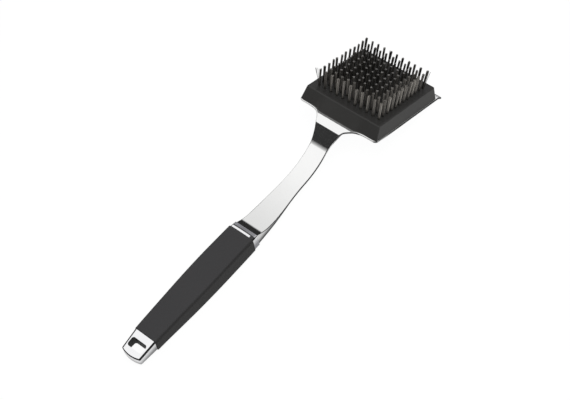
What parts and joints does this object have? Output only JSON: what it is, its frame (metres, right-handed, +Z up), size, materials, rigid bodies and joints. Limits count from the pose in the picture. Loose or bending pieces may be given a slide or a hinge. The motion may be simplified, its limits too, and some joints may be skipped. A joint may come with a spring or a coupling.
{
  "type": "grill cleaning brush",
  "caption": "Long-handled grill brush: square wire-bristle head on a stamped steel plate and neck with a scraper lip, soft grip, ferrule, and an end cap with a hanging slot.",
  "frame": {"origin": "middle of the brush's length and width, on the surface it lies on, bristles up", "axes": "+X along the brush towards the scraper lip, +Y across it, +Z up, away from the surface it lies on"},
  "size_m": [0.4046, 0.097, 0.0649],
  "materials": {
    "stamped_steel": "satin",
    "block_plastic": "fine moulded matte",
    "bristle_wire": "drawn wire",
    "anchor_wire": "drawn wire",
    "screw_steel": "plated",
    "trim_plastic": "silver satin",
    "core_plastic": "moulded",
    "grip_rubber": "matte soft touch"
  },
  "bodies": {
    "root": {"neck_plate": "stamped_steel", "brush_block": "block_plastic", "bristles": "bristle_wire", "tuft_anchors": "anchor_wire", "head_screws": "screw_steel", "ferrule": "trim_plastic", "core_upper": "core_plastic", "core_lower": "core_plastic", "core_screws": "screw_steel", "grip_sleeve": "grip_rubber", "end_cap": "trim_plastic", "cap_pin": "screw_steel"}
  },
  "joints": []
}
